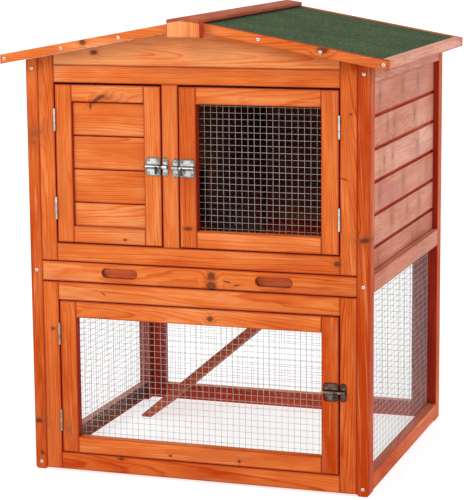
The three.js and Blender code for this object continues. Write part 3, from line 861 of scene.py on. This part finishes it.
def make_drawer(looks):
    x, y, z = extent("drawer_front")

    def in_pocket(face):
        centre = face.center
        level = z[0] + 5 * MM < centre.z < z[1] - 5 * MM
        return level and y[0] + 2 * MM < centre.y < y[1] - 2 * MM and abs(centre.x) < x[1] - 5 * MM

    def pocket_side(face):
        return in_pocket(face) and abs(face.normal.y) < 0.7

    front = whole_board("drawer_front", looks["front"], "x", (0.1, 0.8), 0.7 * MM)
    # Pocket floors take the bright pocket pine, painted light against their shadow; pocket sides take the dark
    # inner pine, painted shade
    front.finish((looks["pocket"], in_pocket), (looks["inner"], pocket_side))
    bm = node_bm("drawer_tray")
    soften(bm, 0.25 * MM, 1)
    tray = link_piece("galvanised_tray", bm, looks["galvanised"], "drawer_tray")
    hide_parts("drawer_tray")


# ---- welded wire

def join_rings(bm, rings):
    for here, there in zip(rings, rings[1:]):
        for k in range(len(here)):
            n = (k + 1) % len(here)
            bm.faces.new((here[k], here[n], there[n], there[k]))


def tube_into(bm, path, radius, sides):
    """A closed tube along a path of points, its section square to the path."""
    rings = []
    for i, place in enumerate(path):
        ahead = (path[min(i + 1, len(path) - 1)] - path[max(i - 1, 0)]).normalized()
        across = ahead.orthogonal() if i == 0 else across - ahead * across.dot(ahead)
        across.normalize()
        other = ahead.cross(across)
        rings.append([
            bm.verts.new(place + radius * (cos(t) * across + sin(t) * other))
            for t in turns_of(sides)
        ])
    join_rings(bm, rings)
    bm.faces.new(list(reversed(rings[0])))
    bm.faces.new(rings[-1])


def make_wire_panel(node, normal, material, phase=(0.5, 0.5)):
    """Welded mesh in place of a wire node: one layer of wires upright and one across, a little uneven."""
    spans = extent(node)
    n, u, v = axes_from(normal)
    middle = sum(spans[n]) / 2
    bm = bmesh.new()
    for run, step, layer, offset in ((v, u, -1, phase[0]), (u, v, 1, phase[1])):
        count = int((spans[step][1] - spans[step][0]) / WIRE_PITCH - offset) + 1
        pieces = max(2, round((spans[run][1] - spans[run][0]) / WIRE_STEP))
        stands = [spans[step][0] + (k + offset) * WIRE_PITCH for k in range(count)]
        for stand in stands + [spans[step][1] - WIRE_RADIUS]:
            path = []
            for i in range(pieces + 1):
                along = spans[run][0] + (spans[run][1] - spans[run][0]) * i / pieces
                wander = Vector(noise.noise_vector(Vector((along * 9, stand * 31, layer + n))))
                place = Vector((0, 0, 0))
                place[run] = along
                place[step] = stand + WIRE_WANDER * wander.x
                place[n] = middle + layer * WIRE_RADIUS * 0.85 + bulge(spans, u, v, place)
                path.append(place)
            tube_into(bm, path, WIRE_RADIUS, WIRE_SIDES)
    wire = link_piece(f"welded_wire_{node}", bm, material, node, 80)
    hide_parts(node)


def bulge(spans, u, v, place):
    """Slack in the middle of a stapled panel, the same for both layers."""
    slack = noise.noise(Vector((place[u] * 5, place[v] * 5, 3.7)))
    share = [(place[i] - spans[i][0]) / (spans[i][1] - spans[i][0]) for i in (u, v)]
    hold = sin(pi * share[0]) * sin(pi * share[1])
    return WIRE_SLACK * slack * max(hold, 0)


def make_wires(material):
    noise.seed_set(WIRE_SEED)
    living_x, _, living_z = extent("living_door_wire")
    phase_x = (WIRE_UPRIGHT_AT - living_x[0]) / WIRE_PITCH % 1
    phase_z = (WIRE_LEVEL_AT - living_z[0]) / WIRE_PITCH % 1
    make_wire_panel("living_door_wire", "y", material, (phase_x, phase_z))
    make_wire_panel("run_door_wire", "y", material, (0.4, 0.2))
    make_wire_panel("run_mesh_rear", "y", material)
    for side in SIDES:
        make_wire_panel(f"run_mesh_{side}", "x", material, (0.3, 0.6))


# ---- hinges, bolts and screws

def rounded_plate(lo, hi, normal, corner, steps=5):
    """A flat plate between two corners, its corners rounded, as a bmesh; normal is the axis through it."""
    n, u, v = axes_from(normal)
    outline = []
    for quarter, (right, up) in enumerate(((True, True), (False, True), (False, False), (True, False))):
        cu = hi[u] - corner if right else lo[u] + corner
        cv = hi[v] - corner if up else lo[v] + corner
        for i in range(steps + 1):
            turn = pi / 2 * (quarter + i / steps)
            outline.append((cu + corner * cos(turn), cv + corner * sin(turn)))
    return prism(outline, normal, lo[n], hi[n])


def barrel(centre, axis, start, end, radius, sides=28, chamfer=0.25 * MM):
    """A round bar with chamfered ends."""
    _, u, v = axes_from(axis)
    circle = [(centre[u] + radius * cos(t), centre[v] + radius * sin(t)) for t in turns_of(sides)]
    bm = prism(circle, axis, start, end)
    soften(bm, chamfer, 2, 40)
    return bm


HINGE_GAP = 0.15 * MM
LEAF_THICKNESS = 0.9 * MM
PIN_HEAD = 0.7 * MM


def make_hinges(looks):
    for joint in frame["joints"]:
        if joint["type"] != "hinge":
            continue
        door = joint["child"].split("_")[0]
        pin = Vector(joint["pos_m"])
        for place in ("upper", "lower"):
            make_hinge(f"{door}_hinge_{place}", pin, looks["dull_zinc" if door == "run" else "zinc"])


def make_hinge(name, pin, material):
    lo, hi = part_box(f"{name}_frame_leaf")
    height = hi.z - lo.z
    cuts = [lo.z + height * i / 3 for i in range(4)]
    radius = pin.y - lo.y
    for part, knuckles in (("frame_leaf", (0, 2)), ("door_leaf", (1,))):
        node = f"{name}_{part}"
        leaf_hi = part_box(node)[1]
        x = pin.x + (HINGE_GAP if (part == "door_leaf") == (pin.x < 0) else -HINGE_GAP - LEAF_THICKNESS)
        corner = (x, pin.y + radius + 0.4 * MM, lo.z)
        whole = rounded_plate(corner, (x + LEAF_THICKNESS, leaf_hi.y, hi.z), "x", 1.5 * MM)
        for k in knuckles:
            foot, top = cuts[k] + HINGE_GAP, cuts[k + 1] - HINGE_GAP
            add_into(whole, barrel(pin, "z", foot, top, radius))
            corner = (x + LEAF_THICKNESS, pin.y + radius + 0.6 * MM, top)
            add_into(whole, box_bm((x, pin.y, foot), corner))
        if part == "frame_leaf":
            for end, step in ((lo.z, -1), (hi.z, 1)):
                head = sorted((end, end + step * PIN_HEAD))
                add_into(whole, barrel(pin, "z", *head, radius * 0.72, 20))
        piece = link_piece(f"steel_{node}", whole, material, node)
        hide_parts(node)


def screw_head_mesh(radius):
    """A domed screw head with a cross recess, its face up and its seat at zero."""
    bm = bmesh.new()
    sides = 24
    rings = []
    for share, height in ((1.0, 0.0), (0.97, 0.16), (0.86, 0.30), (0.66, 0.40)):
        wide, up = share * radius, height * radius
        rings.append([bm.verts.new((wide * cos(t), wide * sin(t), up)) for t in turns_of(sides)])
    join_rings(bm, rings)
    arm, slim, top = 0.52 * radius, 0.13 * radius, 0.42 * radius
    cross = []
    for quarter in range(4):
        c, s = cos(pi / 2 * quarter), sin(pi / 2 * quarter)
        for px, py in ((arm, -slim), (arm, slim), (slim, slim)):
            cross.append(bm.verts.new((c * px - s * py, s * px + c * py, top)))
    loop = [bm.edges.new((cross[i], cross[(i + 1) % 12])) for i in range(12)]
    rim = [bm.edges.get((rings[-1][k], rings[-1][(k + 1) % sides])) for k in range(sides)]
    bmesh.ops.triangle_fill(bm, use_beauty=True, edges=loop + rim)
    floor = [bm.verts.new((v.co.x * 0.8, v.co.y * 0.8, top - 0.34 * radius)) for v in cross]
    # The recess faces take the second slot: painted shade inside the cross
    for i in range(12):
        j = (i + 1) % 12
        bm.faces.new((cross[i], cross[j], floor[j], floor[i])).material_index = 1
    bm.faces.new(floor).material_index = 1
    bm.faces.new(list(reversed(rings[0])))
    mesh = bpy.data.meshes.new("screw_head")
    bm.to_mesh(mesh)
    bm.free()
    return mesh


class Screws:
    """Screw heads of one kind, gathered by the node they hold and made into one piece for each."""

    def __init__(self, material, recess, radius):
        self.material = material
        self.recess = recess
        self.head = screw_head_mesh(radius)
        self.chance = random.Random(7)
        self.groups = {}

    def add(self, node, place, normal):
        bm = self.groups.setdefault(node, bmesh.new())
        spin = Matrix.Rotation(self.chance.uniform(0, pi), 4, "Z")
        face = Vector(normal).to_track_quat("Z", "Y").to_matrix().to_4x4()
        head = self.head.copy()
        head.transform(Matrix.Translation(Vector(place)) @ face @ spin)
        bm.from_mesh(head)
        bpy.data.meshes.remove(head)

    def finish(self):
        for node, bm in self.groups.items():
            link_piece(f"screws_{node}", bm, self.material, node, 50).data.materials.append(self.recess)


POST_SCREW_FOOT = 15 * MM
POST_SCREW_TOP = 21 * MM
TRIM_SCREW_PITCH = 122 * MM
SCREW_INSET = 9 * MM


def place_screws(looks):
    drawer_z = extent("drawer_front")[2]
    screws = Screws(looks["screw"], looks["recess"], SCREW_RADIUS)
    for end, face in (("front", 0), ("rear", 1)):
        normal = (0, -1 if face == 0 else 1, 0)
        for side, sign in SIDES.items():
            post = f"post_{end}_{side}"
            x, y, z = extent(post)
            for height in (z[0] + POST_SCREW_FOOT, sum(drawer_z) / 2, z[1] - POST_SCREW_TOP):
                screws.add(post, (sum(x) / 2, y[face], height), normal)
            trim = f"roof_trim_{side}"
            y, _, reach, peak = roof_side(trim)
            for i in range(3):
                out = reach - SCREW_INSET - i * TRIM_SCREW_PITCH
                height = peak - TRIM_HEIGHT / 2 - ROOF_SLOPE * out
                screws.add(trim, (sign * out, y[face], height), normal)
    screws.finish()


def tunnel(x, centre, inner, outer, quarter_only):
    """A pressed arch over the rod, along X; quarter_only leaves its lower half open as a slot."""
    steps = 10
    start, end = (pi, 1.5 * pi) if quarter_only else (pi / 2, 1.5 * pi)
    turns = [start + (end - start) * i / steps for i in range(steps + 1)]

    def arc(radius, order):
        return [(centre.y + radius * cos(t), centre.z - radius * sin(t)) for t in order]

    return prism(arc(outer, turns) + arc(inner, list(reversed(turns))), "x", *x)


BOLT_METALS = {"nest_bolt": "zinc", "living_bolt": "zinc", "run_bolt": "bronze"}
BOLT_RADIUS = 2.4 * MM
TUNNEL_INNER = 2.65 * MM
TUNNEL_OUTER = 3.55 * MM
PLATE_THICKNESS = 1.1 * MM
PLATE_CORNER = {"plate": 5.5 * MM, "keeper": 5.8 * MM}
PLATE_SCREW_INSET = (5.2 * MM, 5 * MM)  # from a plate's end and from its top or bottom
TUNNEL_INSET = 1.6 * MM
ROD_DEPTH = 4.9 * MM  # from the wood to the rod's middle
TAB_INSET = 7 * MM
TAB_HALF = 2.5 * MM
TAB_THICKNESS = 1.8 * MM
SLOT_MARGIN = 3.6 * MM


def bolt_plate(node):
    """A bolt plate's or keeper's corners, its front face and where its screws go."""
    lo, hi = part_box(node)
    face = hi.y - PLATE_THICKNESS
    aside, inset = PLATE_SCREW_INSET
    columns = (lo.x + aside, hi.x - aside) if node.endswith("plate") else ((lo.x + hi.x) / 2,)
    screws = [(x, face, z) for x in columns for z in (lo.z + inset, hi.z - inset)]
    return lo, hi, face, screws


def plate_screws(metal):
    bolts = [bolt for bolt, kind in BOLT_METALS.items() if kind == metal]
    plates = [bolt_plate(f"{bolt}_{part}") for bolt in bolts for part in PLATE_CORNER]
    return [place for plate in plates for place in plate[3]]


def tag_box(bm, middle, half):
    """Stores each vertex's place from the middle of a box and the box's half size, for edge_factor."""
    layers = vector_layers(bm, "local", "half")
    for v in bm.verts:
        v[layers["local"]] = v.co - middle
        v[layers["half"]] = half
    return bm


def make_bolts(looks):
    recess = looks["recess"]
    small = {metal: Screws(looks[metal], recess, SMALL_SCREW_RADIUS) for metal in ("zinc", "bronze")}
    for bolt, metal in BOLT_METALS.items():
        make_bolt_plates(bolt, looks[f"{metal}_plate"], small[metal])
        make_bolt_rod(bolt, looks[f"{metal}_rod"], recess)
    for screws in small.values():
        screws.finish()


def joint_of(body):
    return next(joint for joint in frame["joints"] if joint["child"] == body)


def bolt_centre(bolt):
    lo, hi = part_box(f"{bolt}_plate")
    return Vector((0, hi.y - ROD_DEPTH, (lo.z + hi.z) / 2))


def tab_place(bolt):
    """Where the bolt's tab is when shut, and the sign of its way open."""
    lo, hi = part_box(f"{bolt}_plate")
    towards = joint_of(bolt)["axis"][0]
    return (lo.x + TAB_INSET if towards > 0 else hi.x - TAB_INSET), towards


def make_bolt_plates(bolt, material, screws):
    centre = bolt_centre(bolt)
    tab_x, towards = tab_place(bolt)
    travel = joint_of(bolt)["range_m"][1]
    slot = sorted((tab_x - towards * SLOT_MARGIN, tab_x + towards * (travel + SLOT_MARGIN)))
    for part, corner in PLATE_CORNER.items():
        node = f"{bolt}_{part}"
        lo, hi, face, places = bolt_plate(node)
        base = rounded_plate((lo.x, face, lo.z), (hi.x, hi.y, hi.z), "y", corner)
        soften(base, 0.3 * MM, 2, 40)
        front = Vector((lo.x, face, lo.z))
        tag_box(base, (front + hi) / 2, (hi - front) / 2)
        span = (lo.x + TUNNEL_INSET, hi.x - TUNNEL_INSET)
        sections = [(span, False)]
        if part == "plate":
            sections = [((span[0], slot[0]), False), (slot, True), ((slot[1], span[1]), False)]
        for x, open_below in sections:
            arch = tunnel(x, centre, TUNNEL_INNER, TUNNEL_OUTER, open_below)
            for z in [TUNNEL_INNER] if open_below else [TUNNEL_INNER, -TUNNEL_OUTER]:
                low = (x[0], centre.y, centre.z + z)
                high = (x[1], face + 0.1 * MM, centre.z + z + TUNNEL_OUTER - TUNNEL_INNER)
                add_into(arch, box_bm(low, high))
            arch_middle = Vector(((x[0] + x[1]) / 2, centre.y, centre.z))
            tag_box(arch, arch_middle, Vector(((x[1] - x[0]) / 2, 0.01, 0.01)))
            add_into(base, arch)
        piece = link_piece(f"steel_{node}", base, material, node, 40)
        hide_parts(node)
        for place in places:
            screws.add(node, place, (0, -1, 0))


def make_bolt_rod(bolt, material, tab_material):
    lo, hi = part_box(f"{bolt}_rod")
    centre = bolt_centre(bolt)
    tab_x = tab_place(bolt)[0]
    bar = barrel(centre, "x", lo.x, hi.x, BOLT_RADIUS, 28, 0.6 * MM)
    front = lo.y + 0.6 * MM
    low = (tab_x - TAB_HALF, front, lo.z)
    high = (tab_x + TAB_HALF, front + TAB_THICKNESS, centre.z)
    tab = rounded_plate(low, high, "y", 1.2 * MM)
    soften(tab, 0.3 * MM, 2, 40)
    add_into(bar, tab)
    add_into(bar, barrel(Vector((tab_x, 0, centre.z)), "y", front, centre.y, 1.8 * MM, 20))
    piece = link_piece(f"steel_{bolt}_rod", bar, material, f"{bolt}_rod", 40)
    piece.data.materials.append(tab_material)
    for face in piece.data.polygons:
        if face.center.z < centre.z - BOLT_RADIUS or face.center.y < centre.y - BOLT_RADIUS:
            face.material_index = 1
    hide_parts(f"{bolt}_rod")


# ---- the whole hutch

def knot(node, along, up, size, wide=1.0, tall=1.0, lean=0):
    """A knot on the front of a node: its place as shares of the node's width and height, its size in
    millimetres; wide and tall stretch it, lean tips it up to the right."""
    x, y, z = extent(node)
    centre = Vector((x[0] + along * (x[1] - x[0]), y[0], z[0] + up * (z[1] - z[0])))
    return centre, size * MM, (1 / wide, 0.02, 1 / tall), radians(lean)


def knots_on(boards):
    return [knot(node, *place) for node, places in boards.items() for place in places]


def front_knots():
    """Dark knots and resin streaks, where each board shows them."""
    return knots_on({
        "drawer_front": [
            (0.55, 0.65, 6), (0.55, 0.15, 6.5, 1.2),
            (0.6, 0.4, 1.2, 4.5, 1, -8), (0.63, 0.25, 1.2, 4, 1, 12),
        ],
        "nest_door_frame": [
            (0.4, 0.91, 2.6, 5, 1, 31), (0.45, 0.93, 2.6, 1.8, 1, 20), (0.65, 0.03, 1.8, 1.6),
        ],
        "nest_door_boards": [(0.25, 0.97, 1.8, 1, 3)],
        "living_door_frame": [(0.05, 0.12, 2.8, 2.4)],
        "run_door_frame": [(0.55, 0.94, 4.6), (0.4, 0.03, 1.6, 1.8), (0.65, 0.03, 2.4)],
        "front_lower_frame": [(0.03, 0.75, 2.6), (0.2, 0.95, 0.9, 4.5, 1, -32), (0.25, 0.08, 2.6, 1.8)],
        "front_upper_frame": [(0.94, 0.05, 4, 1.2), (0.96, 0.45, 0.9, 6, 1, -14), (0.98, 0.75, 1.6)],
        "post_front_left": [(0.35, 0.12, 3.2, 1.7), (0.6, 0.04, 2.8, 1, 1.3, 30)],
        "post_front_right": [(0.6, 0.6, 3.2, 2.2, 1, 12)],
        "front_gable": [(0.15, 0.35, 3.4, 1.6)],
        "roof_trim_left": [(0.45, 0.5, 4, 1.3)],
        "roof_trim_right": [(0.68, 0.41, 5.4, 1.5)],
    })


def faint_knots():
    """Soft brown patches round buried knots."""
    return knots_on({
        "post_front_left": [(0.6, 0.82, 9, 2.2, 1, 20), (0.5, 0.8, 5, 1.5), (0.5, 0.12, 5, 2)],
        "post_front_right": [(0.6, 0.6, 6, 2.4)],
        "run_door_frame": [(0.02, 0.15, 3.4, 1, 1.8)],
        "nest_door_frame": [(0.5, 0.92, 4, 3)],
    })


def side_smudges():
    """Upright resin smudges, three to a plank, at seeded places along the side walls."""
    y, z = extent("wall_boards_right")[1:]
    chance = random.Random(11)
    smudges = []
    middle = z[1] - PLANK_PITCH / 2
    while middle > z[0]:
        for third in range(3):
            along = y[0] + (third + chance.random()) / 3 * (y[1] - y[0])
            stretch = (0, 1 / chance.uniform(1.5, 2.4), 1 / chance.uniform(3, 5))
            smudges.append((Vector((0, along, middle)), 4 * MM, stretch, 0))
        middle -= PLANK_PITCH
    return smudges


def make_materials():
    pine = (0.80, 0.31, 0.115), (0.68, 0.152, 0.027), (0.42, 0.038, 0.0)
    # Pale pinkish tones for the side walls: painted sheen, the glare of light glancing off the sides
    sheen_tones = (0.68, 0.34, 0.25), (0.54, 0.19, 0.11), (0.40, 0.075, 0.025)
    # Deep red tones for faces turned from the lamps, in seams and under edges: painted shade
    dark = (0.52, 0.09, 0.035), (0.36, 0.028, 0.010), (0.20, 0.010, 0.004)
    # Darker tones, painted shade on the ramp inside the hutch; the ridge cap takes them too
    shaded_tones = (0.46, 0.12, 0.05), (0.34, 0.06, 0.025), (0.18, 0.02, 0.008)
    # Dark tones for the inside of the hutch and faces turned into it: painted shade
    interior_shade_tones = (0.34, 0.13, 0.06), (0.25, 0.07, 0.03), (0.12, 0.03, 0.013)
    # Bright tones for the floors of the drawer's finger pockets: painted light, lifting the shadow in them
    pocket_light_tones = (0.86, 0.24, 0.10), (0.70, 0.125, 0.04), (0.34, 0.03, 0.01)
    zinc = (0.68, 0.68, 0.66), (0.30, 0.28, 0.25)
    bronze = (0.20, 0.125, 0.095), (0.07, 0.045, 0.032)
    return {
        "front": timber_material("glazed_pine", *pine, front_knots(), faint_knots()),
        # side walls, rail tops and fascia: painted sheen over the pine
        "side": timber_material("sheen_painted_pine", *sheen_tones, (), side_smudges(), 0.55, 0.7, specular=0.2),
        # reveal: a darker copy of the pine, painted shade
        "reveal": timber_material("deep_shade_pine", *dark, rough=0.7),
        "shaded": timber_material("shaded_pine", *shaded_tones, rough=0.6),
        "inner": timber_material("interior_shade_pine", *interior_shade_tones, rough=0.7),
        "pocket": timber_material("painted_light_pocket", *pocket_light_tones, rough=0.5),
        "felt": felt_material(),
        "wire": metal_material("galvanised_wire", (0.46, 0.46, 0.45), (0.28, 0.28, 0.27), 0.4, metallic=0.4),
        "zinc": metal_material("bright_zinc", *zinc, 0.25),
        "zinc_plate": metal_material("bright_zinc_plate", *zinc, 0.25, screws=plate_screws("zinc")),
        "bronze": metal_material("antique_bronze", *bronze, 0.3),
        "bronze_plate": metal_material("antique_bronze_plate", *bronze, 0.3, screws=plate_screws("bronze")),
        "screw": metal_material("bright_screw", (0.86, 0.87, 0.86), (0.62, 0.62, 0.60), 0.2),
        # Near-black metal: painted shade in the screws' cross recesses; the bolts' tabs take it too
        "recess": metal_material("dark_recess_metal", (0.10, 0.10, 0.10), (0.03, 0.03, 0.03), 0.6),
        # A dark brownish zinc for the bolt rods: painted shade, muting the bright reflections on the round rods
        "zinc_rod": metal_material("zinc_rod", (0.26, 0.21, 0.18), (0.08, 0.06, 0.05), 0.35),
        "dull_zinc": metal_material("dull_zinc", (0.42, 0.41, 0.34), (0.17, 0.16, 0.12), 0.3),
        "bronze_rod": metal_material("worn_bronze_rod", (0.40, 0.33, 0.30), (0.14, 0.10, 0.08), 0.2),
        "galvanised": metal_material("galvanised_sheet", (0.55, 0.56, 0.57), (0.38, 0.39, 0.40), 0.35, 300),
    }


make_camera()
make_studio()
looks = make_materials()
make_posts(looks)
make_side_walls(looks)
make_front_frames(looks)
make_rear_wall(looks)
make_interior(looks)
make_roof(looks)
make_doors(looks)
make_drawer(looks)
make_wires(looks["wire"])
make_hinges(looks)
make_bolts(looks)
place_screws(looks)
